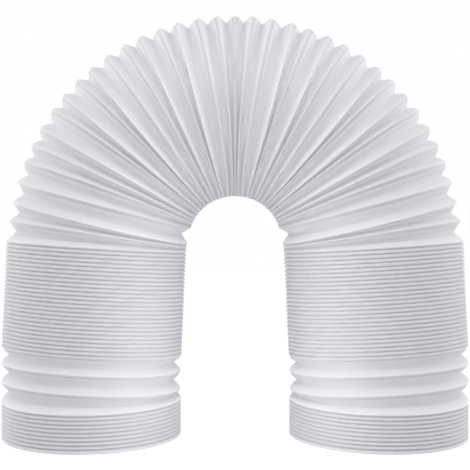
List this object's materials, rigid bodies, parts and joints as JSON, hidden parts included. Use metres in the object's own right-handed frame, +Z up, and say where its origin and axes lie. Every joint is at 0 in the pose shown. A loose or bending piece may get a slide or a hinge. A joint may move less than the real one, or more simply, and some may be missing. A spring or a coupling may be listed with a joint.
{
  "type": "air conditioner exhaust hose",
  "caption": "White corrugated plastic exhaust duct for a portable air conditioner, bent into an upside-down U and standing on its two open ends.",
  "frame": {"origin": "on the floor under the middle of the arch, midway between the two open ends", "axes": "+Z up, +X from the left leg to the right leg, +Y through the arch, away from the viewer"},
  "size_m": [0.395, 0.1506, 0.3543],
  "materials": {
    "white_plastic": "white polypropylene with a soft sheen"
  },
  "bodies": {
    "root": {"exhaust_hose": "white_plastic"}
  },
  "joints": []
}
